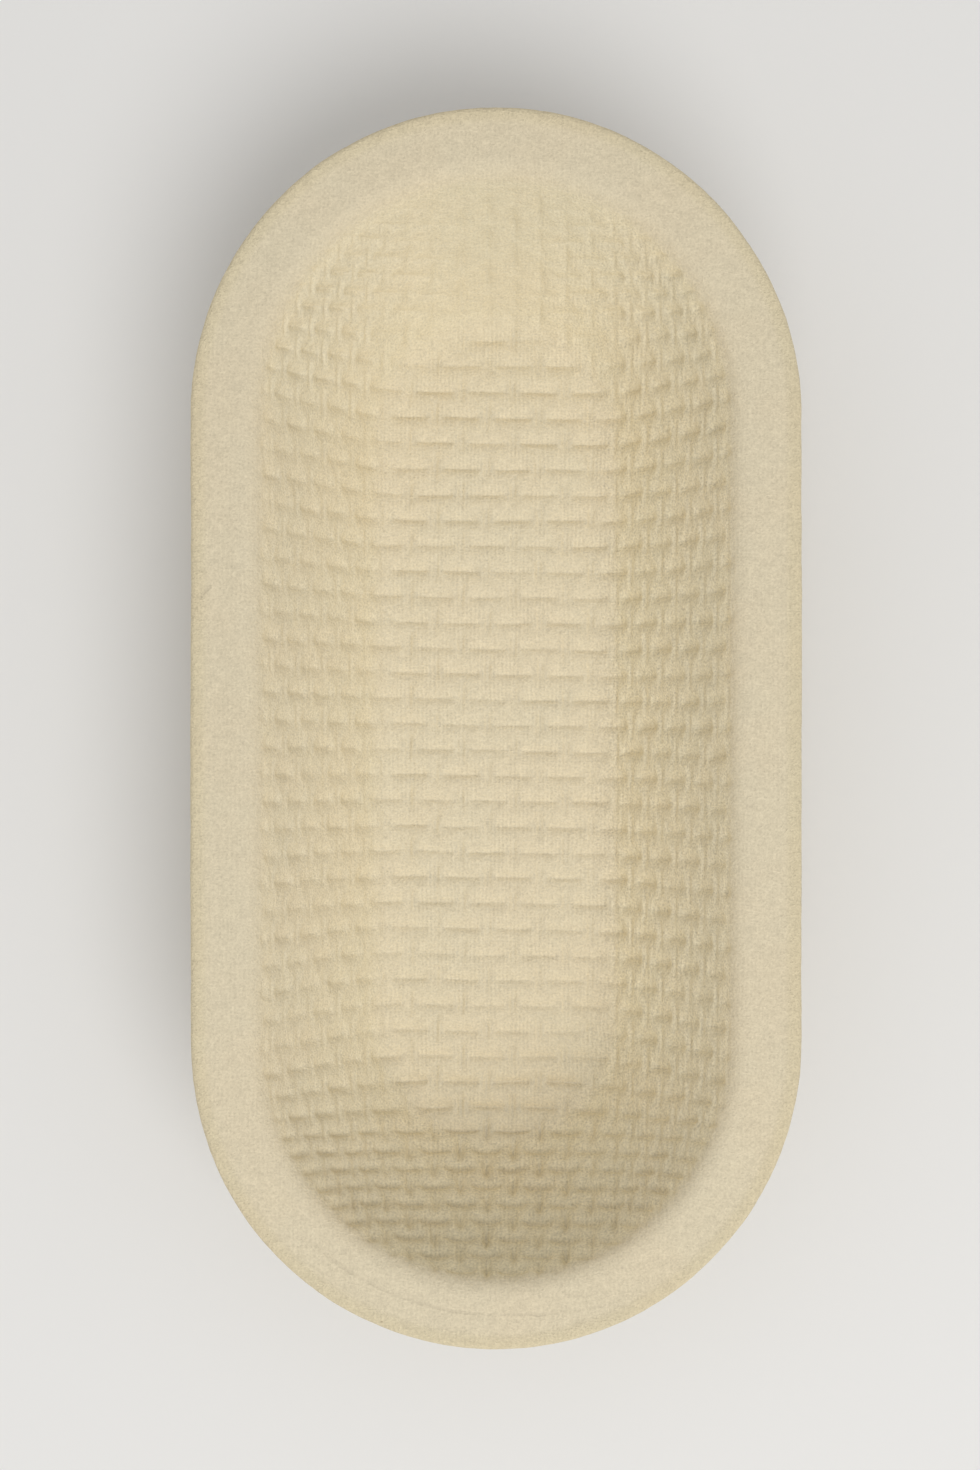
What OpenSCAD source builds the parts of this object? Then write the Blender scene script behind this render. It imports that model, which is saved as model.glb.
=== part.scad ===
// Long proofing basket, moulded in one piece from wood pulp.
// Millimetres. X is the width, Y the length, Z up; the origin is the middle of the base underside.

/* [Outline] */
// Length over the rim
rim_length = 300; // [240:1:380]
// Width over the rim, which is also the diameter of the round ends
rim_width = 148; // [130:1:180]

/* [Bowl] */
// Depth from the rim down to the floor
bowl_depth = 50; // [40:1:58]
// Width of the flat rim, from the trimmed edge in to where the shoulder turns down
rim_flange = 12.5; // [9:0.5:15]
// Slope of the wall at its foot, in degrees from level
foot_slope = 55; // [50:0.5:60]
// Slope of the wall at its top, which is steeper because the wall is hollow
brow_slope = 67; // [63:0.5:72]
// Inside radius where the floor turns up into the wall
crease_radius = 10; // [5:0.5:14]
// Radius of the shoulder where the wall turns out into the rim
shoulder_radius = 6; // [3:0.5:10]

/* [Pulp] */
// Thickness of the pulp, measured square to its surface
pulp_thickness = 7; // [4:0.5:9]
// Radius of the hollow corner under the rim
under_rim_radius = 4; // [1:0.5:6]
// Rounding of the trimmed edge
trim_radius = 1.5; // [0.5:0.1:1.9]

/* [Hidden] */
pulp_colour = [0.83, 0.78, 0.67];
arc_steps = 10;

// The round ends turn about the two ends of a straight spine.
end_radius = rim_width / 2;
spine_length = rim_length - rim_width;

// Heights of the rim
rim_top = bowl_depth + pulp_thickness;
rim_underside = rim_top - pulp_thickness;

function along(angle) = [cos(angle), sin(angle)];

// A surface of a given slope lies a quarter turn back from that slope on its circle.
foot_turn = foot_slope - 90;
brow_turn = brow_slope - 90;

// The hollow curve of the wall takes up the height that the crease and the shoulder leave.
crease_rise = crease_radius * (1 - cos(foot_slope));
shoulder_rise = shoulder_radius * (1 - cos(brow_slope));
wall_radius = (bowl_depth - crease_rise - shoulder_rise) / (cos(foot_slope) - cos(brow_slope));

// Centres of the arcs, from the shoulder down to the crease, each arc tangent to the next
shoulder_centre = [end_radius - rim_flange, rim_top - shoulder_radius];
wall_centre = shoulder_centre - (wall_radius + shoulder_radius) * along(brow_turn);
crease_centre = wall_centre + (wall_radius - crease_radius) * along(foot_turn);

// The corner under the rim is tangent to the outside of the wall and to the underside of the rim.
under_rim_height = rim_underside - under_rim_radius;
under_rim_away = wall_radius + pulp_thickness + under_rim_radius;
under_rim_turn = asin((under_rim_height - wall_centre.y) / under_rim_away);
under_rim_centre = wall_centre + under_rim_away * along(under_rim_turn);

// The trimmed edge
trim_reach = end_radius - trim_radius;
trim_low = [trim_reach, rim_underside + trim_radius];
trim_high = [trim_reach, rim_top - trim_radius];

// Points of an arc; one that carries on from the arc before it leaves out the point that they share.
function arc(centre, radius, from, to, carries_on = false) = [
    for (step = [carries_on ? 1 : 0 : arc_steps])
        centre + radius * along(from + (to - from) * step / arc_steps)
];

// Half of the section, from the middle of the base round the rim and back to the middle of the floor
half_section = concat(
    [[0, 0]],
    arc(crease_centre, crease_radius + pulp_thickness, -90, foot_turn),
    arc(wall_centre, wall_radius + pulp_thickness, foot_turn, under_rim_turn, carries_on = true),
    arc(under_rim_centre, under_rim_radius, under_rim_turn + 180, 90, carries_on = true),
    arc(trim_low, trim_radius, -90, 0),
    arc(trim_high, trim_radius, 0, 90),
    arc(shoulder_centre, shoulder_radius, 90, brow_turn + 180),
    arc(wall_centre, wall_radius, brow_turn, foot_turn, carries_on = true),
    arc(crease_centre, crease_radius, foot_turn, -90, carries_on = true),
    [[0, pulp_thickness]]
);

module section() {
    polygon(half_section);
}

// Straight middle stretch, with the section on both sides of the spine
module trough() {
    rotate([90, 0, 0])
        linear_extrude(height = spine_length, center = true) {
            section();
            mirror([1, 0, 0])
                section();
        }
}

// Half turn of the section about one end of the spine
module round_end() {
    translate([0, spine_length / 2, 0])
        rotate_extrude(angle = 180, $fn = 96)
            section();
}

module pulp_shell() {
    color(pulp_colour)
        union() {
            trough();
            round_end();
            mirror([0, 1, 0])
                round_end();
        }
}

pulp_shell();
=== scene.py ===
"""The long pulp proofing basket: its moulded skin, its finish, the floor, the light and the camera."""

import math

import bpy
import numpy as np
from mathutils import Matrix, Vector, noise
from mathutils.geometry import delaunay_2d_cdt


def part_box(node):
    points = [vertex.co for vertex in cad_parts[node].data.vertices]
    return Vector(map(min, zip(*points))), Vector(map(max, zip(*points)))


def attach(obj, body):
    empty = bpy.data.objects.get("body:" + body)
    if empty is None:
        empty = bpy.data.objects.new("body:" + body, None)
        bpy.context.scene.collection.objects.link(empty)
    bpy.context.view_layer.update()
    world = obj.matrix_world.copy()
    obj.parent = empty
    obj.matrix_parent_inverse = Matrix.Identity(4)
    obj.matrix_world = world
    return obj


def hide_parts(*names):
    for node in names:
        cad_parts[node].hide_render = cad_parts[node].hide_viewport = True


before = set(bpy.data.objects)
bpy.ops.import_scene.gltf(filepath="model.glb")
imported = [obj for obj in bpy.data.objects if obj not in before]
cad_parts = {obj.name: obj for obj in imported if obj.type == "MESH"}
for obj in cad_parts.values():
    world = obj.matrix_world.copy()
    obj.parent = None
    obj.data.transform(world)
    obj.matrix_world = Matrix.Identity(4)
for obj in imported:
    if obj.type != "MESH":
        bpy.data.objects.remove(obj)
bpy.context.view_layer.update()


def direction(angle):
    """The unit vector at an angle in the plane of the section."""
    return np.array([math.cos(angle), math.sin(angle)])


# Sizes of the moulding in millimetres, as the solid has them
MM = 0.001
lowest, highest = (np.array(corner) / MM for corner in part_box("pulp_shell"))
RIM_WIDTH, RIM_LENGTH, RIM_TOP = highest - lowest
PULP = 7.0
RIM_FLANGE = 12.5
FOOT_SLOPE = math.radians(55.0)
BROW_SLOPE = math.radians(67.0)
CREASE_RADIUS = 10.0
SHOULDER_RADIUS = 6.0
UNDER_RIM_RADIUS = 4.0
TRIM_RADIUS = 1.5
END_RADIUS = RIM_WIDTH / 2
SPINE_HALF = RIM_LENGTH / 2 - END_RADIUS
BOWL_DEPTH = RIM_TOP - PULP
RIM_UNDERSIDE = RIM_TOP - PULP

# The section is a chain of tangent arcs; where a surface has a slope, its circle is a quarter turn back
QUARTER = math.pi / 2
FOOT_TURN = FOOT_SLOPE - QUARTER
BROW_TURN = BROW_SLOPE - QUARTER
CREASE_RISE = CREASE_RADIUS * (1.0 - math.cos(FOOT_SLOPE))
SHOULDER_RISE = SHOULDER_RADIUS * (1.0 - math.cos(BROW_SLOPE))
WALL_RISE = BOWL_DEPTH - CREASE_RISE - SHOULDER_RISE
WALL_RADIUS = WALL_RISE / (math.cos(FOOT_SLOPE) - math.cos(BROW_SLOPE))
SHOULDER_CENTRE = np.array([END_RADIUS - RIM_FLANGE, RIM_TOP - SHOULDER_RADIUS])
WALL_CENTRE = SHOULDER_CENTRE - (WALL_RADIUS + SHOULDER_RADIUS) * direction(BROW_TURN)
CREASE_CENTRE = WALL_CENTRE + (WALL_RADIUS - CREASE_RADIUS) * direction(FOOT_TURN)
UNDER_RIM_AWAY = WALL_RADIUS + PULP + UNDER_RIM_RADIUS
UNDER_RIM_TURN = math.asin((RIM_UNDERSIDE - UNDER_RIM_RADIUS - WALL_CENTRE[1]) / UNDER_RIM_AWAY)
UNDER_RIM_CENTRE = WALL_CENTRE + UNDER_RIM_AWAY * direction(UNDER_RIM_TURN)

# Lengths along the inner surface, from the spine outwards; the weave ends on the shoulder
FLOOR_RUN = CREASE_CENTRE[0]
CREASE_RUN = CREASE_RADIUS * FOOT_SLOPE
WALL_RUN = WALL_RADIUS * (BROW_SLOPE - FOOT_SLOPE)
WEAVE_ON_SHOULDER = 3.0
BROW_RUN = FLOOR_RUN + CREASE_RUN + WALL_RUN
WEAVE_RUN = BROW_RUN + WEAVE_ON_SHOULDER
SECTION_SAMPLES = 4001

# Steps of the noise from seed to seed, and the tolerances of the geometry
NOISE_STEPS = (17.3, 5.7, 11.9)
TOLERANCE = 1e-6
WELD = 1e-7
TINY = 1e-9

# Where the weave lies: its pitches and shifts in millimetres, the squeeze of the columns on the left and
# the right wall, the pull on the near wall's rows, and the share by which each millimetre of lift at the
# ends draws columns and rows in
COLUMN_PITCH = 6.75
ROW_PITCH = 6.66
WEAVE_SHIFT = (4.6, 1.3)
WEAVE_SLANT = math.radians(1.0)
WALL_SQUEEZE = (0.08, 0.045)
NEAR_PULL = 1.6
DRAWN_IN = (0.0016, 0.0010)

# Slow and quick wander of the strands, as layers of a height, a size of the lumps and a seed
COLUMN_WANDER = ((0.5, 48.0, 1), (0.35, 11.0, 2))
ROW_WANDER = ((0.5, 48.0, 3), (0.40, 11.0, 4))

# Grooves of the strands: where a lying one starts to rise and where it ends, how wide it is towards
# the near and the far end, and how wide a standing one is where it is sharp and where it is soft
LYING_HALF_LENGTH = (3.8, 5.6)
LYING_SIDES = (2.3, 3.1)
LYING_SHARPNESS = 1.7
STANDING_HALF_LENGTH = 6.0
FAR_HALF_LENGTH = 9.5
STANDING_RISE = 0.5
STANDING_SIDES = (1.6, 2.2)
STANDING_SHARPNESS = 1.4
DEPTH_SPREAD = 0.26
SPREAD_STRANDS = 128
SPREAD_SEED = 11

# How far below its end on the shoulder the weave starts to fade, on the far wall and elsewhere
FAR_FADE = 16.0
WEAVE_FADE = 5.5

# Where the walls and the near wall's foot begin, in millimetres before the floor's end, and how narrow
# the walls at the ends and the far corners are
WALL_START = 2.0
NEAR_FOOT_BAND = (13.0, 4.0)
FAR_NARROWNESS = 4.0
NEAR_NARROWNESS = 2.0
CORNER_NARROWNESS = 1.5

# Depths of the lying and the standing strands' grooves, their softness and the lying ones' length share
ZONE_DEPTHS = {
    "floor": (1.02, 1.02, 0.30, 1.0),
    "left": (0.86, 0.36, 1.0, 1.0),
    "right": (1.32, 0.66, 0.7, 0.94),
    "far": (0.0, 0.85, 0.5, 1.0),
    "far_left": (1.25, 0.80, 0.6, 0.95),
    "far_right": (1.15, 0.45, 0.8, 0.88),
    "near": (1.52, 1.85, 0.4, 0.80),
    "near_foot": (2.25, 1.70, 0.1, 1.0),
}

# How softness draws out the ends of the lying grooves, and how those of the near wall curl
SOFT_ENDS = (-0.45, 0.12)
NEAR_CURL = 0.05

# How clear the fine sieve's print is, and how coarse the grain, on each part of the bowl; both are stronger
# on the walls that face away from the lamp, as painted shade of their relief
ZONE_PRINT_GRAIN_AND_PAINTED_SHADE = {
    "floor": (1.0, 1.1),
    "left": (0.5, 1.3),
    "right": (1.1, 2.0),
    "far": (0.4, 1.0),
    "far_left": (0.45, 1.2),
    "far_right": (0.8, 1.6),
    "near": (1.2, 1.9),
    "near_foot": (1.0, 1.3),
}

# Painted light and shade: tones of each wall's foot and top, against the floor's, which stand in for how the
# light falls on the walls
ZONE_PAINTED_LIGHT = {
    "left": ((1.045, 1.048, 1.035), (1.003, 1.003, 1.000)),
    "right": ((1.088, 1.095, 1.080), (1.045, 1.050, 1.040)),
    "far": ((0.985, 0.997, 1.0), (0.970, 0.985, 0.985)),
    "far_left": ((1.015, 1.022, 1.018), (0.987, 0.994, 0.992)),
    "far_right": ((1.037, 1.046, 1.040), (1.007, 1.017, 1.012)),
    "near": ((1.050, 1.050, 1.030), (0.935, 0.930, 0.880)),
}

# Where the painted tones start on the crease, as a share of it, and the band of painted light under the
# shoulder
PAINTED_LIGHT_START = 0.4
BROW_PAINTED_LIGHT = 0.08
PAINTED_BROW_BAND = 7.0

# Where the finish of the rim starts below the shoulder, and that of its outer band inside the edge
RIM_START = 1.0
TRIM_BAND = (5.0, 1.8)

# Relief of the rim, its edge and the outside, as layers of a height, a size of the lumps and a seed
EDGE_INSET = 0.18
EDGE_WAVES = ((0.25, 60.0, 5), (0.10, 9.0, 6))
EDGE_FRAY = ((0.08, 2.2, 7),)
FELT_HOLLOWS = ((0.35, 7.0, 8), (0.12, 2.6, 9))
FELT_START = 3.0
RIM_HOLLOWS = ((0.10, 17.0, 10),)

# Mesh lines of one strand's pitch, as shares of it, and the fineness of the rest of the mesh
STRAND_LINES = (0.0, 0.035, 0.10, 0.22, 0.5, 0.78, 0.90, 0.965)
CROSS_LINES = (0.0, 0.09, 0.19, 0.37, 0.63, 0.81, 0.91)
SIDE_COLUMNS = 110
END_COLUMNS = 130
RING_CLEARANCE = 0.45
SHOULDER_ROWS = 5
RIM_ROWS = 8
TRIM_ROWS = 4
EDGE_ROWS = 4
UNDER_RIM_ROWS = 3
UNDER_CORNER_ROWS = 4
OUTER_WALL_ROWS = 20
OUTER_CREASE_ROWS = 8
BASE_GRID = 4.0
SHEET_MARGIN = 4.0


def smooth_step(start, end, value):
    """0 up to start, 1 from end on, and a smooth rise between them."""
    share = np.clip((value - start) / (end - start), 0.0, 1.0)
    return share * share * (3.0 - 2.0 * share)


def lumps(points, size, seed):
    """Smooth noise from about -1 to 1 at each point, with lumps of about that size in millimetres."""
    offset = Vector([seed * step for step in NOISE_STEPS])
    return np.array([noise.noise(Vector(point) / size + offset) for point in points])


def waves(points, layers):
    """Heights of soft waves at each point, up and down: a sum of layers of smooth noise."""
    return sum(height * lumps(points, size, seed) for height, size, seed in layers)


def hollows(points, layers):
    """Depths of soft hollows at each point, from about 0 up: a sum of layers of smooth noise."""
    return sum(height * (1.0 + lumps(points, size, seed)) for height, size, seed in layers)


def past_spine(y):
    """How far a place lies past the nearer end of the spine, with the sign of that end."""
    return y - np.clip(y, -SPINE_HALF, SPINE_HALF)


def section_at(run):
    """Distance from the spine, height and slope at a length along the inner surface, to the shoulder."""
    crease = np.clip((run - FLOOR_RUN) / CREASE_RADIUS, 0.0, FOOT_SLOPE)
    up_wall = (run - FLOOR_RUN - CREASE_RUN) / WALL_RADIUS
    wall = FOOT_SLOPE + np.clip(up_wall, 0.0, BROW_SLOPE - FOOT_SLOPE)
    shoulder = BROW_SLOPE - np.clip((run - BROW_RUN) / SHOULDER_RADIUS, 0.0, BROW_SLOPE)
    reach = np.minimum(run, FLOOR_RUN) + CREASE_RADIUS * np.sin(crease)
    reach += WALL_RADIUS * (np.sin(wall) - math.sin(FOOT_SLOPE))
    reach += SHOULDER_RADIUS * (math.sin(BROW_SLOPE) - np.sin(shoulder))
    height = PULP + CREASE_RADIUS * (1.0 - np.cos(crease))
    height += WALL_RADIUS * (math.cos(FOOT_SLOPE) - np.cos(wall))
    height += SHOULDER_RADIUS * (np.cos(shoulder) - math.cos(BROW_SLOPE))
    slope = crease + (wall - FOOT_SLOPE) + (shoulder - BROW_SLOPE)
    return reach, height, slope


# Lengths along the inner surface, and the distances from the spine and the heights that they reach
RUNS = np.linspace(0.0, BROW_RUN + SHOULDER_RADIUS * BROW_SLOPE, SECTION_SAMPLES)
REACHES, HEIGHTS, _ = section_at(RUNS)


def unrolled(x, y):
    """Places on the unrolled surface of points of the bowl that are given in plan."""
    foot = np.clip(y, -SPINE_HALF, SPINE_HALF)
    reach = np.hypot(x, y - foot)
    stretch = np.interp(reach, REACHES, RUNS) / np.maximum(reach, TINY)
    return np.stack([x * stretch, foot + (y - foot) * stretch], axis=1)


def bowl_surface(places):
    """Points, normals and lengths along the smooth bowl's surface, at places on it when unrolled."""
    foot = np.clip(places[:, 1], -SPINE_HALF, SPINE_HALF)
    way = np.stack([places[:, 0], places[:, 1] - foot], axis=1)
    run = np.linalg.norm(way, axis=1)
    heading = way / np.maximum(run, TINY)[:, None]
    reach, height, slope = section_at(run)
    points = np.stack([heading[:, 0] * reach, foot + heading[:, 1] * reach, height], axis=1)
    lean = np.sin(slope)
    normals = np.stack([-heading[:, 0] * lean, -heading[:, 1] * lean, np.cos(slope)], axis=1)
    return points, normals, run


def weave_places(across, along):
    """Places on the unrolled surface of positions in the weave, which are counted in strands.

    The strands keep their pitch along the surface on the middle lines of the bowl. In plan they lie
    straight, but are drawn in a little towards the middle where the round ends lift them.
    """
    u = WEAVE_SHIFT[0] + across * COLUMN_PITCH
    squeeze = np.where(u < 0, *WALL_SQUEEZE)
    u -= np.sign(u) * np.maximum(np.abs(u) - FLOOR_RUN, 0.0) * squeeze
    v = WEAVE_SHIFT[1] + along * ROW_PITCH
    flat = np.stack([u, v, np.zeros_like(u)], axis=1)
    u = u + waves(flat, COLUMN_WANDER)
    v = v + waves(flat, ROW_WANDER)
    x = np.sign(u) * np.interp(np.abs(u), RUNS, REACHES)
    v = v - x * math.tan(WEAVE_SLANT)
    v = v + NEAR_PULL * smooth_step(SPINE_HALF + FLOOR_RUN, SPINE_HALF + FLOOR_RUN + CREASE_RUN, -v)
    foot = np.clip(v, -SPINE_HALF, SPINE_HALF)
    past = np.interp(np.abs(v - foot), RUNS, REACHES)
    y = foot + np.sign(v - foot) * past
    height = np.interp(np.hypot(x, past), REACHES, HEIGHTS)
    lift_of_column = height - np.interp(np.abs(x), REACHES, HEIGHTS)
    lift_of_row = height - np.interp(past, REACHES, HEIGHTS)
    on_end = smooth_step(0.0, FLOOR_RUN + CREASE_RUN, np.abs(v - foot))
    x = x * (1.0 - DRAWN_IN[0] * lift_of_column)
    y = y * (1.0 - DRAWN_IN[1] * lift_of_row * on_end)
    return unrolled(x, y)


def groove_side(distance, width, sharpness):
    """Share of a groove's depth at a distance from its bottom line, which is sharp."""
    return np.maximum(1.0 - np.abs(distance) / width, 0.0) ** sharpness


def swell(distance, width):
    """Share of a soft hollow's depth at a distance from its middle."""
    return 0.5 + 0.5 * np.cos(np.clip(distance / width, -1.0, 1.0) * math.pi)


def bowl_zones(places, run):
    """How far each place of the unrolled bowl belongs to each part of it; the shares add up to 1."""
    on_left = places[:, 0] < 0
    turn = np.clip(past_spine(places[:, 1]) / np.maximum(run, TINY), -1.0, 1.0)
    on_far = turn > 0
    near_foot = np.maximum(-turn, 0.0) ** NEAR_NARROWNESS
    near_foot *= smooth_step(FLOOR_RUN - NEAR_FOOT_BAND[0], FLOOR_RUN - NEAR_FOOT_BAND[1], run)
    near_foot *= 1.0 - smooth_step(FLOOR_RUN, FLOOR_RUN + CREASE_RUN, run)
    wall = smooth_step(FLOOR_RUN - WALL_START, FLOOR_RUN + CREASE_RUN, run) * (1.0 - near_foot)
    in_corner = np.where(on_far, 1.0 - (2.0 * turn - 1.0) ** 2, 0.0)
    corner = wall * in_corner ** CORNER_NARROWNESS
    narrowness = np.where(on_far, FAR_NARROWNESS, NEAR_NARROWNESS)
    lengthways = (wall - corner) * np.abs(turn) ** narrowness
    sideways = wall - corner - lengthways
    return {
        "floor": 1.0 - wall - near_foot,
        "left": np.where(on_left, sideways, 0.0),
        "right": np.where(on_left, 0.0, sideways),
        "far": np.where(on_far, lengthways, 0.0),
        "far_left": np.where(on_left, corner, 0.0),
        "far_right": np.where(on_left, 0.0, corner),
        "near": np.where(on_far, 0.0, lengthways),
        "near_foot": near_foot,
    }


def blended(table, zones):
    """Values of a table of the bowl's parts at each place, blended by how far it belongs to each part."""
    shares = np.stack([zones[name] for name in table])
    return np.array(list(table.values())).T @ shares


def weave_depth(across, along, zones):
    """Depth of the imprint at positions in the weave: the upper strand of each crossing left a groove."""
    lying_depth, standing_depth, softness, lying_share = blended(ZONE_DEPTHS, zones)
    floor_softness = ZONE_DEPTHS["floor"][2]
    softer = np.maximum(softness - floor_softness, 0.0)
    lying_start = LYING_HALF_LENGTH[0] * (lying_share + SOFT_ENDS[0] * softer)
    lying_end = LYING_HALF_LENGTH[1] * (lying_share + SOFT_ENDS[1] * softer)
    drawn = np.random.RandomState(SPREAD_SEED)
    spread = drawn.uniform(-DEPTH_SPREAD, DEPTH_SPREAD, (SPREAD_STRANDS, SPREAD_STRANDS))
    standing_half = STANDING_HALF_LENGTH + (FAR_HALF_LENGTH - STANDING_HALF_LENGTH) * zones["far"]
    depth = np.zeros_like(across)
    for step_across in (-1, 0, 1):
        for step_along in (-1, 0, 1):
            column = np.rint(across).astype(int) + step_across
            row = np.rint(along).astype(int) + step_along
            dx = (across - column) * COLUMN_PITCH
            dy = (along - row) * ROW_PITCH
            bent = dy - NEAR_CURL * zones["near"] * dx ** 2
            side = np.where(bent < 0, LYING_SIDES[0], LYING_SIDES[1])
            ends = 1.0 - smooth_step(lying_start, lying_end, np.abs(dx))
            sharp = groove_side(bent, side, LYING_SHARPNESS)
            lying = lying_depth * ends * (sharp + softness * (swell(bent, side) - sharp))
            sharp = groove_side(dx, STANDING_SIDES[0], STANDING_SHARPNESS)
            across_share = sharp + softness * (swell(dx, STANDING_SIDES[1]) - sharp)
            standing = standing_depth * across_share * swell(dy - STANDING_RISE, standing_half)
            here = np.where((column + row) % 2 == 0, lying, standing)
            own_depth = 1.0 + spread[column % SPREAD_STRANDS, row % SPREAD_STRANDS]
            depth = np.maximum(depth, here * own_depth)
    return depth


def ring_columns():
    """Foot on the spine and heading of each mesh column round the basket, from the right side on."""
    side = np.linspace(-SPINE_HALF, SPINE_HALF, SIDE_COLUMNS, endpoint=False)
    turn = np.linspace(0.0, math.pi, END_COLUMNS, endpoint=False)
    end = np.full(END_COLUMNS, SPINE_HALF)
    feet = np.concatenate([side, end, -side, -end])
    right = np.zeros(SIDE_COLUMNS)
    angles = np.concatenate([right, turn, math.pi + right, math.pi + turn])
    return feet, np.stack([np.cos(angles), np.sin(angles)], axis=1)


def arc(centre, radius, start, end, steps):
    """Points of an arc of the section, without its first."""
    angles = start + (end - start) * np.arange(1, steps + 1) / steps
    return centre + radius * np.stack([np.cos(angles), np.sin(angles)], axis=1)


def straight(start, end, steps):
    """Points of a straight stretch of the section, without its first."""
    share = np.arange(1, steps + 1) / steps
    return np.array(start) + (np.array(end) - np.array(start)) * share[:, None]


def outer_section():
    """Points of the section from the end of the weave over the rim and its edge, and down to the base."""
    weave_end = BROW_TURN + math.pi - WEAVE_ON_SHOULDER / SHOULDER_RADIUS
    trim_reach = END_RADIUS - TRIM_RADIUS
    trim_high = (trim_reach, RIM_TOP - TRIM_RADIUS)
    trim_low = (trim_reach, RIM_UNDERSIDE + TRIM_RADIUS)
    return np.concatenate(
        [
            [SHOULDER_CENTRE + SHOULDER_RADIUS * direction(weave_end)],
            arc(SHOULDER_CENTRE, SHOULDER_RADIUS, weave_end, QUARTER, SHOULDER_ROWS),
            straight((SHOULDER_CENTRE[0], RIM_TOP), (trim_reach, RIM_TOP), RIM_ROWS),
            arc(trim_high, TRIM_RADIUS, QUARTER, 0.0, TRIM_ROWS),
            straight((END_RADIUS, trim_high[1]), (END_RADIUS, trim_low[1]), EDGE_ROWS),
            arc(trim_low, TRIM_RADIUS, 0.0, -QUARTER, TRIM_ROWS),
            straight((trim_reach, RIM_UNDERSIDE), (UNDER_RIM_CENTRE[0], RIM_UNDERSIDE), UNDER_RIM_ROWS),
            arc(UNDER_RIM_CENTRE, UNDER_RIM_RADIUS, QUARTER, UNDER_RIM_TURN + math.pi, UNDER_CORNER_ROWS),
            arc(WALL_CENTRE, WALL_RADIUS + PULP, UNDER_RIM_TURN, FOOT_TURN, OUTER_WALL_ROWS),
            arc(CREASE_CENTRE, CREASE_RADIUS + PULP, FOOT_TURN, -QUARTER, OUTER_CREASE_ROWS),
        ]
    )


def triangles_inside(ring, inner):
    """Triangles that join a closed ring of flat points with those inside it, which are numbered first."""
    flat = [Vector(point) for point in np.concatenate([inner, ring])]
    first = len(inner)
    count = len(ring)
    edges = [(first + i, first + (i + 1) % count) for i in range(count)]
    _, _, triangles, origins, _, _ = delaunay_2d_cdt(flat, edges, [], 1, WELD)
    return [[origins[corner][0] for corner in triangle] for triangle in triangles]


def bowl_skin():
    """Places, points, lengths along the surface and zones of the woven bowl, on lines along the weave."""
    widest = math.ceil(WEAVE_RUN / (1.0 - max(WALL_SQUEEZE)) / COLUMN_PITCH) + 1
    longest = math.ceil((WEAVE_RUN + SPINE_HALF) / ROW_PITCH) + 1
    columns = [i + share for i in range(-widest, widest) for share in CROSS_LINES]
    rows = [i + share for i in range(-longest, longest) for share in STRAND_LINES]
    across, along = (grid.ravel() for grid in np.meshgrid(columns, rows))
    places = weave_places(across, along)
    _, _, run = bowl_surface(places)
    inside = run < WEAVE_RUN - RING_CLEARANCE
    places = places[inside]
    points, normals, run = bowl_surface(places)
    zones = bowl_zones(places, run)
    fade_start = WEAVE_RUN - WEAVE_FADE - (FAR_FADE - WEAVE_FADE) * zones["far"]
    fade = 1.0 - smooth_step(fade_start, WEAVE_RUN, run)
    depth = weave_depth(across[inside], along[inside], zones) * fade
    return places, points - normals * depth[:, None], run, zones


def rim_and_outside(feet, headings):
    """The section, the points of the rim, the edge and the rough outside row by row, and their lengths."""
    section = outer_section()
    way = np.gradient(section, axis=0)
    way /= np.linalg.norm(way, axis=1)[:, None]
    out = np.stack([-way[:, 1], way[:, 0]], axis=1)
    steps = np.linalg.norm(np.diff(section, axis=0), axis=1)
    length = np.concatenate([[0.0], np.cumsum(steps)])
    middle = np.stack([np.zeros_like(feet), feet, np.zeros_like(feet)], axis=1)
    outward = np.concatenate([headings, np.zeros((len(feet), 1))], axis=1)
    points = middle[None] + outward[None] * section[:, None, None, 0]
    points[:, :, 2] = section[:, None, 1]
    normals = outward[None] * out[:, None, None, 0]
    normals[:, :, 2] = out[:, None, 1]

    # The knife left the edge a little uneven, and the outside kept the lumps of the felted pulp
    grid = points.shape[:2]
    spots = points.reshape(-1, 3)
    on_rim = smooth_step(SHOULDER_CENTRE[0], END_RADIUS - TRIM_RADIUS, section[:, 0])[:, None]
    below = (np.arange(len(section)) > seam_row(section))[:, None]
    above_base = smooth_step(0.0, FELT_START, section[:, 1])[:, None]
    uneven = np.maximum(EDGE_INSET + waves(middle + outward * END_RADIUS, EDGE_WAVES), 0.0)
    cut_back = on_rim * (uneven[None] + hollows(spots, EDGE_FRAY).reshape(grid))
    felt = hollows(spots, FELT_HOLLOWS).reshape(grid) * above_base
    rim_sunk = hollows(spots, RIM_HOLLOWS).reshape(grid) * on_rim
    points -= outward[None] * cut_back[:, :, None]
    points -= normals * np.where(below, felt, rim_sunk)[:, :, None]
    return section, points, length


def seam_row(section):
    """The row at half the height of the trimmed edge, where the top of the skin meets the underside."""
    edge_rows = np.nonzero(section[:, 0] > END_RADIUS - TOLERANCE)[0]
    return int(edge_rows[len(edge_rows) // 2])


def base_inside(half_base):
    """Flat points on an even grid inside the base's ring."""
    grid_x = np.arange(-half_base, half_base + TOLERANCE, BASE_GRID)
    grid_y = np.arange(-SPINE_HALF - half_base, SPINE_HALF + half_base + TOLERANCE, BASE_GRID)
    base = np.stack([grid.ravel() for grid in np.meshgrid(grid_x, grid_y)], axis=1)
    return base[np.hypot(base[:, 0], past_spine(base[:, 1])) < half_base]


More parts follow.
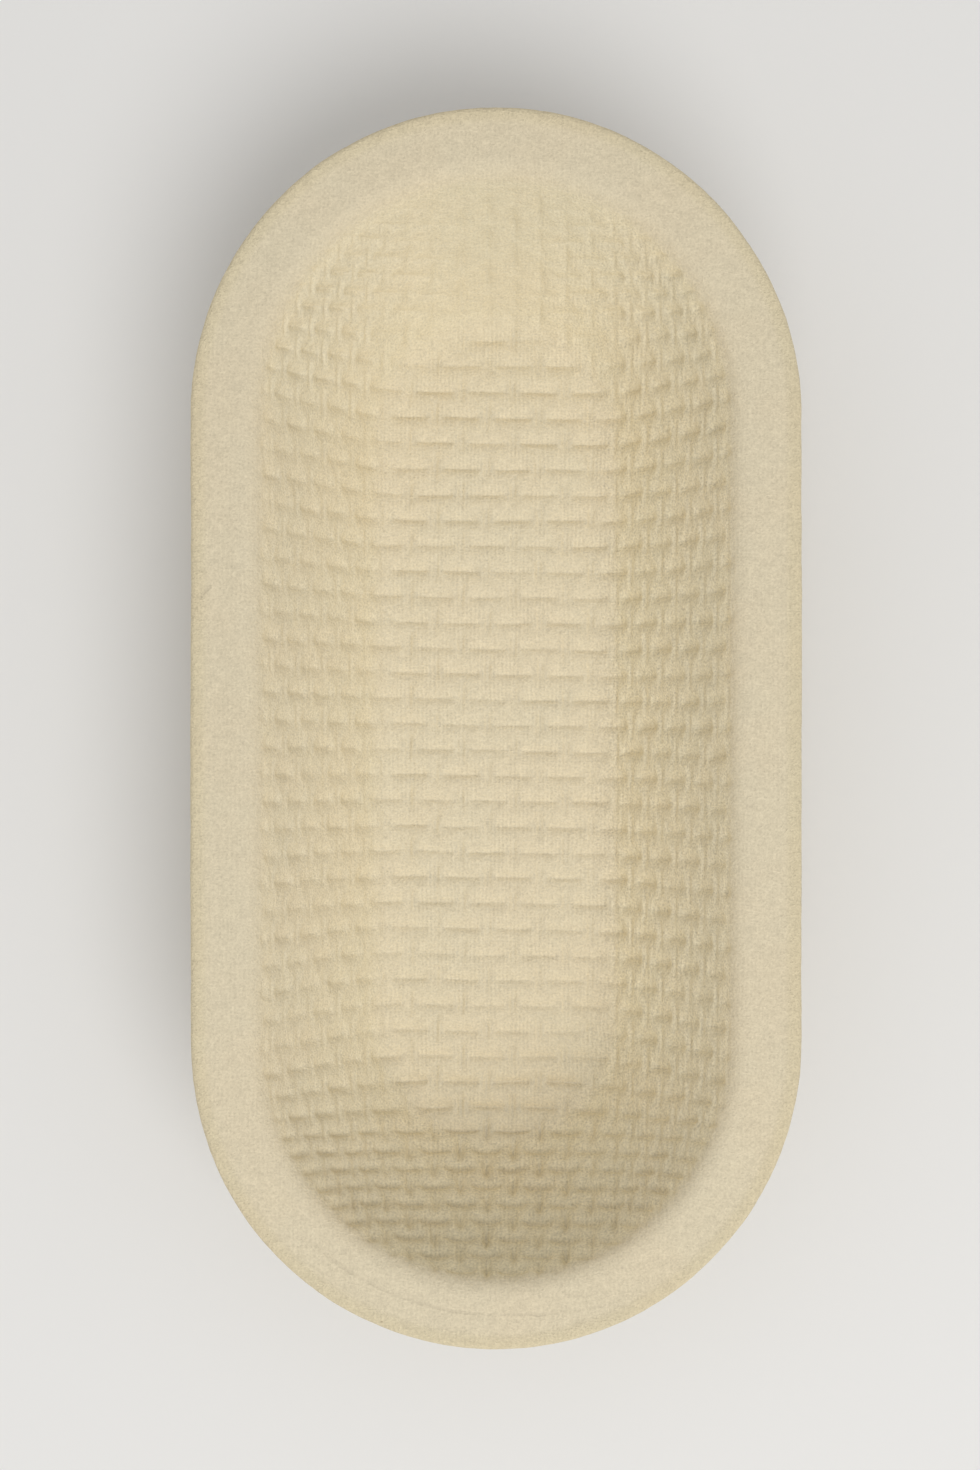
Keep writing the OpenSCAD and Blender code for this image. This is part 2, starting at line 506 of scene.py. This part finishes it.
def skin_faces(places, ring, rows, base):
    """Faces of the bowl, of the bands between the rows round the basket, and of the base."""
    count = len(ring)
    bowl = triangles_inside(ring, places)
    bands = []
    for row in range(len(rows) - 1):
        start = len(places) + row * count
        for i in range(count):
            j = (i + 1) % count
            bands.append([start + i, start + count + i, start + count + j, start + j])
    base_first = len(places) + len(rows) * count
    ring_first = base_first - count
    bottom = []
    for triangle in triangles_inside(rows[-1][:, :2], base):
        corners = [base_first + i if i < len(base) else ring_first + i - len(base) for i in triangle]
        bottom.append(corners[::-1])
    return bowl, bands, bottom


def lay_flat(mesh, top_places, under_places, on_underside, reach):
    """Lays the top and the underside of the skin side by side on the texture square."""
    width = 2 * (reach + SHEET_MARGIN)
    sheet = max(2 * width, width + 2 * SPINE_HALF)
    corner = np.empty(len(mesh.loops), dtype=np.int32)
    mesh.loops.foreach_get("vertex_index", corner)
    sizes = np.empty(len(mesh.polygons), dtype=np.int32)
    mesh.polygons.foreach_get("loop_total", sizes)
    under = np.repeat(on_underside, sizes)[:, None]
    middle = np.where(under, (1.5 * width, sheet / 2), (0.5 * width, sheet / 2))
    spots = np.where(under, under_places[corner], top_places[corner]) + middle
    layer = mesh.uv_layers.new(name="OFBake")
    layer.data.foreach_set("uv", (spots / sheet).astype(np.float32).ravel())


def painted_bowl_light(run, zones):
    """Painted light and shade of the pulp at each point of the bowl, as tones against the floor's."""
    up_wall = np.clip((run - FLOOR_RUN - CREASE_RUN) / WALL_RUN, 0.0, 1.0)[:, None]
    on_wall = smooth_step(FLOOR_RUN + PAINTED_LIGHT_START * CREASE_RUN, FLOOR_RUN + CREASE_RUN, run)
    painted_tones = np.ones((len(run), 3))
    for name, (painted_foot, painted_top) in ZONE_PAINTED_LIGHT.items():
        painted_light = np.array(painted_foot) + (np.array(painted_top) - np.array(painted_foot)) * up_wall
        painted_tones += (painted_light - 1.0) * (zones[name] * on_wall)[:, None]
    painted_brow = smooth_step(BROW_RUN - PAINTED_BROW_BAND, BROW_RUN, run) * (1.0 - zones["far"])
    return painted_tones + BROW_PAINTED_LIGHT * painted_brow[:, None]


def store_finish(mesh, bowl_run, zones, section, count):
    """Stores what the material needs to know of each point of the bowl, then of the rows and the base."""
    row_reach = np.repeat(section[:, 0], count)
    row_number = np.repeat(np.arange(len(section)), count)
    on_rows = np.ones(len(row_reach))
    on_base = np.ones(len(mesh.vertices) - len(bowl_run) - len(row_reach))
    trim_rows = smooth_step(END_RADIUS - TRIM_BAND[0], END_RADIUS - TRIM_BAND[1], row_reach)
    under_rows = (row_number > seam_row(section)).astype(float)
    bowl_rim = smooth_step(BROW_RUN - RIM_START, WEAVE_RUN, bowl_run)
    # Stronger print and grain where the walls face away from the lamp: partly painted shade
    sieve, grain = blended(ZONE_PRINT_GRAIN_AND_PAINTED_SHADE, zones)
    sieve += (SIEVE_ON_RIM - sieve) * bowl_rim
    grain += (1.0 - grain) * bowl_rim
    # The bowl's painted light and shade go into the colour as a tone
    painted_tones = np.ones((len(mesh.vertices), 3))
    painted_tones[:len(bowl_run)] = painted_bowl_light(bowl_run, zones)
    mesh.attributes.new("painted_light", "FLOAT_VECTOR", "POINT").data.foreach_set("vector", painted_tones.ravel())
    shares = {
        "sieve": (sieve, SIEVE_ON_RIM * (1.0 - under_rows), 0.0 * on_base),
        "grain": (grain, on_rows, on_base),
        "rim": (bowl_rim, on_rows, on_base),
        "trim": (0.0 * bowl_run, trim_rows, 0.0 * on_base),
        "under": (0.0 * bowl_run, under_rows, on_base),
    }
    for name, values in shares.items():
        stored = mesh.attributes.new(name, "FLOAT", "POINT")
        stored.data.foreach_set("value", np.concatenate(values).astype(np.float32))


def moulded_pulp():
    """The whole skin as one closed mesh: the woven bowl, the rim, its edge and the outside with the base."""
    feet, headings = ring_columns()
    count = len(feet)
    foot_places = np.stack([np.zeros_like(feet), feet], axis=1)
    places, bowl_points, bowl_run, zones = bowl_skin()
    section, rows, length = rim_and_outside(feet, headings)
    base = base_inside(section[-1, 0] - BASE_GRID / 2)
    base_points = np.concatenate([base, np.zeros((len(base), 1))], axis=1)
    points = np.concatenate([bowl_points, rows.reshape(-1, 3), base_points])
    bowl, bands, bottom = skin_faces(places, foot_places + headings * WEAVE_RUN, rows, base)
    faces = bowl + bands + bottom
    mesh = bpy.data.meshes.new("moulded_pulp")
    mesh.from_pydata((points * MM).tolist(), [], faces)
    mesh.shade_smooth()

    # Where each point lies on the skin when it is laid flat, seen from above and from below
    seam = seam_row(section)
    top_run = WEAVE_RUN + length
    under_run = section[-1, 0] + length[-1] - length
    top_rows = foot_places[None] + headings[None] * top_run[:, None, None]
    under_rows = foot_places[None] + headings[None] * under_run[:, None, None]
    top_places = np.concatenate([places, top_rows.reshape(-1, 2), base])
    under_places = np.concatenate([places, under_rows.reshape(-1, 2), base])
    on_underside = np.arange(len(faces)) >= len(bowl) + seam * count
    lay_flat(mesh, top_places, under_places, on_underside, max(top_run[seam], under_run[seam]))

    store_finish(mesh, bowl_run, zones, section, count)
    skin = bpy.data.objects.new("moulded_pulp", mesh)
    bpy.context.collection.objects.link(skin)
    return skin


class Wiring:
    """Adds nodes to one material: each call makes a node, sets its values and links its inputs."""

    # Places of the mix node's colour sockets, which come after those for numbers and vectors
    MIX_INPUTS = (6, 7)
    MIX_OUTPUT = 2

    def __init__(self, material):
        material.use_nodes = True
        self.tree = material.node_tree
        self.tree.nodes.clear()

    def node(self, kind, inputs, **settings):
        made = self.tree.nodes.new(kind)
        for name, value in settings.items():
            setattr(made, name, value)
        for name, value in inputs.items():
            if isinstance(value, bpy.types.NodeSocket):
                self.tree.links.new(value, made.inputs[name])
            else:
                made.inputs[name].default_value = value
        return made

    def math(self, operation, *values):
        made = self.node("ShaderNodeMath", dict(enumerate(values)), operation=operation)
        return made.outputs[0]

    def vector(self, operation, *values):
        made = self.node("ShaderNodeVectorMath", dict(enumerate(values)), operation=operation)
        return made.outputs[0]

    def turned(self, vector, axis, angle):
        inputs = {"Vector": vector, "Axis": axis, "Angle": angle}
        return self.node("ShaderNodeVectorRotate", inputs).outputs["Vector"]

    def noise(self, vector, size, detail=3.0, roughness=0.5):
        inputs = {"Vector": vector, "Scale": 1.0 / size, "Detail": detail, "Roughness": roughness}
        return self.node("ShaderNodeTexNoise", inputs).outputs["Fac"]

    def attribute(self, name, output="Fac"):
        return self.node("ShaderNodeAttribute", {}, attribute_name=name).outputs[output]

    def step(self, value, start, end, low=0.0, high=1.0):
        inputs = {0: value, 1: start, 2: end, 3: low, 4: high}
        return self.node("ShaderNodeMapRange", inputs, interpolation_type="SMOOTHSTEP").outputs[0]

    def mixed(self, factor, low, high, blend="MIX"):
        made = self.node("ShaderNodeMix", {"Factor": factor}, data_type="RGBA", blend_type=blend)
        for slot, value in zip(self.MIX_INPUTS, (low, high)):
            if isinstance(value, bpy.types.NodeSocket):
                self.tree.links.new(value, made.inputs[slot])
            else:
                made.inputs[slot].default_value = (*value, 1.0)
        return made.outputs[self.MIX_OUTPUT]


# Colours as linear values
BOWL_COLOUR = (0.770, 0.681, 0.499)
RIM_COLOUR = (0.720, 0.627, 0.450)
TRIM_COLOUR = (0.720, 0.622, 0.424)
WARM_TINT = (1.005, 0.998, 0.988)
COOL_TINT = (0.996, 1.001, 1.000)
TINT_RANGE = (0.35, 0.65)

# The layers of fibres: how each is turned, stretched and shifted, and how thin its fibres look
FIBRE_AXIS = (0.3, 0.2, 1.0)
FIBRE_TURNS = (0.2, 0.85, 1.6, 2.3, 2.9)
FIBRE_STRETCH = (0.22, 2.6, 1.2)
FIBRE_SHIFT = (31.0, 7.0, 3.0)
FIBRE_THINNESS = 3.0

# Noise of the clouds, the flecks and the grain: size in millimetres, detail and roughness
CLOUDS = (24.0, 3.0, 0.6)
FLECKS = (2.4, 4.0, 0.65)
GRAIN = (0.54, 2.0, 0.6)

# What flecks, fibres and grain do to shade and roughness, as a gain and an offset, and the specular level
FLECK_SHADE = (0.20, 0.90)
FIBRE_SHADE = (0.34, -0.10)
GRAIN_SHADE = (0.46, -0.23)
FLECK_ROUGHNESS = (0.12, 0.86)
SPECULAR = 0.25

# Heights of their relief in millimetres, and how much coarser it is on the outside and on the edge
FLECK_HEIGHT = 0.30
GRAIN_HEIGHT = 0.15
FIBRE_HEIGHT = 0.20
COARSER_OUTSIDE = 1.6
COARSER_EDGE = 0.8

# The dark specks: about one cell of this spacing in eight has one
SPECK_COLOUR = (0.22, 0.15, 0.08)
SPECK_SPACING = 9.0
SPECK_EDGE = (0.012, 0.034)
SPECK_PICK = 0.88
SPECK_STRENGTH = 0.55

# The fine sieve that the pulp was drawn onto, whose print is a relief and also dark lines painted into the
# colour as shade of its grooves; its patches map noise to how clear the print is
SIEVE_PITCHES = (1.06, 0.69)
SIEVE_HEIGHT = 0.010
SIEVE_PAINTED_SHADES = (0.024, 0.008)
SIEVE_ON_RIM = 0.5
SIEVE_WAVER = 1.6
SIEVE_WAVER_SIZE = 14.0
PATCH_STRETCH = (1.0, 0.5, 0.5)
PATCH_SIZE = 5.0
PATCH_RANGE = (0.3, 0.7, 0.2, 1.8)

# A line pressed round the rim of the near end, and a scratch on the left side of the rim
ARC_RADIUS = 64.4
ARC_DRIFT = 3.6
ARC_TURNS = (math.radians(-50.0), math.radians(32.0))
ARC_TAPERS = (0.3, 0.5)
ARC_GAPS = (0.35, 0.6, 0.35, 1.0)
ARC_WAVER_SIZE = 7.0
SCRATCH_MIDDLE = (-70.0, 33.0)
SCRATCH_ANGLE = math.radians(49.0)
SCRATCH_HALF_LENGTH = 2.5
SCRATCH_TAPER = 1.0
MARK_CORE = 0.1
MARK_HALF_WIDTH = 0.7
MARK_COLOUR = (0.42, 0.36, 0.26)
MARK_STRENGTH = 0.22
MARK_DEPTH = 0.16


def rim_marks(wire, spot):
    """How much of a pressed mark there is at each place of the rim, from 0 to 1."""
    place = wire.node("ShaderNodeSeparateXYZ", {0: spot})
    x, y = place.outputs["X"], place.outputs["Y"]
    waver = wire.noise(spot, ARC_WAVER_SIZE, detail=2.0)
    toward = wire.math("SUBTRACT", -SPINE_HALF, y)
    squares = wire.math("ADD", wire.math("MULTIPLY", x, x), wire.math("MULTIPLY", toward, toward))
    radius = wire.math("SQRT", squares)
    turn = wire.math("ARCTAN2", x, toward)
    first, last = ARC_TURNS
    line = wire.math("ADD", wire.step(turn, 0.0, last, ARC_RADIUS, ARC_RADIUS + ARC_DRIFT), waver)
    away = wire.math("ABSOLUTE", wire.math("SUBTRACT", radius, line))
    arc_line = wire.step(away, MARK_CORE, MARK_HALF_WIDTH, 1.0, 0.0)
    arc_line = wire.math("MULTIPLY", arc_line, wire.step(turn, first, first + ARC_TAPERS[0]))
    arc_line = wire.math("MULTIPLY", arc_line, wire.step(turn, last - ARC_TAPERS[1], last, 1.0, 0.0))
    arc_line = wire.math("MULTIPLY", arc_line, wire.step(waver, *ARC_GAPS))
    off_x = wire.math("SUBTRACT", x, SCRATCH_MIDDLE[0])
    off_y = wire.math("SUBTRACT", y, SCRATCH_MIDDLE[1])
    lean, rise = math.cos(SCRATCH_ANGLE), math.sin(SCRATCH_ANGLE)
    along = wire.math("ADD", wire.math("MULTIPLY", off_x, lean), wire.math("MULTIPLY", off_y, rise))
    beside = wire.math("SUBTRACT", wire.math("MULTIPLY", off_y, lean), wire.math("MULTIPLY", off_x, rise))
    scratch = wire.step(wire.math("ABSOLUTE", beside), MARK_CORE, MARK_HALF_WIDTH, 1.0, 0.0)
    taper_start = SCRATCH_HALF_LENGTH - SCRATCH_TAPER
    short = wire.step(wire.math("ABSOLUTE", along), taper_start, SCRATCH_HALF_LENGTH, 1.0, 0.0)
    return wire.math("ADD", arc_line, wire.math("MULTIPLY", scratch, short))


def felted_fibres(wire, spot):
    """How much fibre shows at each place; fibres lie in every direction in the sheet."""
    layers = []
    for number, angle in enumerate(FIBRE_TURNS):
        stretched = wire.vector("MULTIPLY", wire.turned(spot, FIBRE_AXIS, angle), FIBRE_STRETCH)
        shift = (FIBRE_SHIFT[0] * number, FIBRE_SHIFT[1], FIBRE_SHIFT[2])
        strands = wire.noise(wire.vector("ADD", stretched, shift), size=1.0, detail=2.0)
        layers.append(wire.math("POWER", strands, FIBRE_THINNESS))
    felt = layers[0]
    for layer in layers[1:]:
        felt = wire.math("MAXIMUM", felt, layer)
    return felt


def sieve_print(wire, spot):
    """The print of the sieve's wires, straight in plan and clearer in some patches than in others; it makes
    the relief and the painted shade of its grooves in the colour.
    """
    place = wire.node("ShaderNodeSeparateXYZ", {0: spot})
    waver = wire.math("MULTIPLY", wire.noise(spot, SIEVE_WAVER_SIZE, detail=1.0), SIEVE_WAVER)
    wires = []
    for output, pitch, shade in zip("XY", SIEVE_PITCHES, SIEVE_PAINTED_SHADES):
        along = wire.math("ADD", wire.math("DIVIDE", place.outputs[output], pitch), waver)
        wave = wire.math("SINE", wire.math("MULTIPLY", along, 2 * math.pi))
        wires.append(wire.math("MULTIPLY", wave, shade))
    patches = wire.noise(wire.vector("MULTIPLY", spot, PATCH_STRETCH), PATCH_SIZE, detail=2.0)
    patches = wire.math("MULTIPLY", wire.step(patches, *PATCH_RANGE), wire.attribute("sieve"))
    return wire.math("MULTIPLY", wire.math("ADD", *wires), patches)


def dark_specks(wire, spot):
    """Where a few dark specks lie, from 0 to 1."""
    cells = wire.node("ShaderNodeTexVoronoi", {"Vector": spot, "Scale": 1.0 / SPECK_SPACING})
    pick = wire.node("ShaderNodeSeparateColor", {0: cells.outputs["Color"]}).outputs[0]
    near = wire.step(cells.outputs["Distance"], *SPECK_EDGE, 1.0, 0.0)
    return wire.math("MULTIPLY", wire.math("GREATER_THAN", pick, SPECK_PICK), near)


def pulp_material():
    """Dry moulded wood pulp: felted fibres, faint cloudy tints, a few dark specks, a sieve's print, and
    painted light and shade on the walls of the bowl.
    """
    material = bpy.data.materials.new("felted_pulp")
    wire = Wiring(material)
    object_place = wire.node("ShaderNodeTexCoord", {}).outputs["Object"]
    spot = wire.vector("DIVIDE", object_place, (MM, MM, MM))
    rim = wire.attribute("rim")
    trim = wire.attribute("trim")
    under = wire.attribute("under")
    felt = felted_fibres(wire, spot)
    sieve = sieve_print(wire, spot)
    clouds = wire.noise(spot, *CLOUDS)
    flecks = wire.noise(spot, *FLECKS)
    grain = wire.noise(spot, *GRAIN)

    # Colour
    # Painted light and shade of the bowl's walls, from the stored tones
    colour = wire.mixed(1.0, BOWL_COLOUR, wire.attribute("painted_light", "Vector"), "MULTIPLY")
    colour = wire.mixed(rim, colour, RIM_COLOUR)
    colour = wire.mixed(trim, colour, TRIM_COLOUR)
    tint = wire.mixed(wire.step(clouds, *TINT_RANGE), COOL_TINT, WARM_TINT)
    colour = wire.mixed(1.0, colour, tint, "MULTIPLY")
    shade = wire.math("MULTIPLY_ADD", flecks, *FLECK_SHADE)
    shade = wire.math("ADD", shade, wire.math("MULTIPLY_ADD", felt, *FIBRE_SHADE))
    grain_shade = wire.math("MULTIPLY_ADD", grain, *GRAIN_SHADE)
    # The grain's colour contrast per part of the bowl, stronger away from the lamp as painted shade
    shade = wire.math("MULTIPLY_ADD", grain_shade, wire.attribute("grain"), shade)
    # The sieve's lines darken the colour as painted shade of the print's grooves
    shade = wire.math("ADD", shade, sieve)
    shade_colour = wire.node("ShaderNodeCombineColor", {0: shade, 1: shade, 2: shade}).outputs[0]
    colour = wire.mixed(1.0, colour, shade_colour, "MULTIPLY")
    marks = wire.math("MULTIPLY", rim_marks(wire, spot), wire.math("SUBTRACT", 1.0, under))
    colour = wire.mixed(wire.math("MULTIPLY", marks, MARK_STRENGTH), colour, MARK_COLOUR)
    specks = wire.math("MULTIPLY", dark_specks(wire, spot), SPECK_STRENGTH)
    colour = wire.mixed(specks, colour, SPECK_COLOUR)

    # Relief: the felt everywhere, coarser on the outside and the edge, the sieve's print and the marks
    coarseness = wire.math("MULTIPLY_ADD", under, COARSER_OUTSIDE, 1.0)
    coarseness = wire.math("MULTIPLY_ADD", trim, COARSER_EDGE, coarseness)
    height = wire.math("MULTIPLY", flecks, FLECK_HEIGHT)
    height = wire.math("MULTIPLY_ADD", grain, GRAIN_HEIGHT, height)
    height = wire.math("MULTIPLY_ADD", felt, FIBRE_HEIGHT, height)
    height = wire.math("MULTIPLY", height, coarseness)
    height = wire.math("MULTIPLY_ADD", sieve, SIEVE_HEIGHT / max(SIEVE_PAINTED_SHADES), height)
    height = wire.math("MULTIPLY_ADD", marks, -MARK_DEPTH, height)
    bump = wire.node("ShaderNodeBump", {"Height": height, "Strength": 1.0, "Distance": MM}).outputs[0]

    roughness = wire.math("MULTIPLY_ADD", flecks, *FLECK_ROUGHNESS)
    finish = {"Base Color": colour, "Roughness": roughness, "Normal": bump, "Specular IOR Level": SPECULAR}
    shader = wire.node("ShaderNodeBsdfPrincipled", finish)
    wire.node("ShaderNodeOutputMaterial", {"Surface": shader.outputs[0]})
    return material


# The floor that the basket stands on
FLOOR_COLOUR = (0.80, 0.79, 0.77)
FLOOR_ROUGHNESS = 0.9
FLOOR_SIZE = 3.0


def pale_floor():
    """A plain pale floor under the basket."""
    half = FLOOR_SIZE / 2
    mesh = bpy.data.meshes.new("floor")
    corners = [(-half, -half, 0), (half, -half, 0), (half, half, 0), (-half, half, 0)]
    mesh.from_pydata(corners, [], [(0, 1, 2, 3)])
    floor = bpy.data.objects.new("floor", mesh)
    bpy.context.collection.objects.link(floor)
    material = bpy.data.materials.new("pale_floor")
    wire = Wiring(material)
    finish = {"Base Color": (*FLOOR_COLOUR, 1.0), "Roughness": FLOOR_ROUGHNESS}
    shader = wire.node("ShaderNodeBsdfPrincipled", finish)
    wire.node("ShaderNodeOutputMaterial", {"Surface": shader.outputs[0]})
    mesh.materials.append(material)
    return floor


# Soft light: the sky all round and one large lamp high on the right of the near end
SKY_STRENGTH = 0.62
LAMP_AZIMUTH = math.radians(-68.0)
LAMP_ELEVATION = math.radians(58.0)
LAMP_AWAY = 2.0
LAMP_SIZE = 1.4
LAMP_WATTS = 18.1


def light():
    """The even sky and the large soft lamp."""
    world = bpy.data.worlds.new("sky")
    world.use_nodes = True
    sky = world.node_tree.nodes["Background"]
    sky.inputs["Color"].default_value = (1.0, 1.0, 1.0, 1.0)
    sky.inputs["Strength"].default_value = SKY_STRENGTH
    bpy.context.scene.world = world
    lamp = bpy.data.lights.new("soft_lamp", "AREA")
    lamp.shape = "DISK"
    lamp.size = LAMP_SIZE
    lamp.energy = LAMP_WATTS
    stand = bpy.data.objects.new("soft_lamp", lamp)
    right = math.cos(LAMP_AZIMUTH) * math.cos(LAMP_ELEVATION)
    ahead = math.sin(LAMP_AZIMUTH) * math.cos(LAMP_ELEVATION)
    towards = Vector((right, ahead, math.sin(LAMP_ELEVATION)))
    stand.location = towards * LAMP_AWAY
    stand.rotation_euler = (-towards).to_track_quat("-Z", "Y").to_euler()
    bpy.context.collection.objects.link(stand)


# The camera looks straight down at the basket
IMAGE_HEIGHT = 1470
FOCAL_PIXELS = 2500.0
SENSOR = 36.0
CAMERA_HEIGHT = 651.5
AIM = (-1.41, -1.56)


def camera():
    """The camera at the place that the photograph's perspective gives."""
    data = bpy.data.cameras.new("camera")
    data.sensor_width = SENSOR
    data.lens = FOCAL_PIXELS * SENSOR / IMAGE_HEIGHT
    stand = bpy.data.objects.new("camera", data)
    stand.location = Vector((*AIM, PULP + CAMERA_HEIGHT)) * MM
    bpy.context.collection.objects.link(stand)
    bpy.context.scene.camera = stand


skin = moulded_pulp()
skin.data.materials.append(pulp_material())
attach(skin, "root")
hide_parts("pulp_shell")
pale_floor()
light()
camera()
bpy.context.scene.view_settings.view_transform = "Standard"
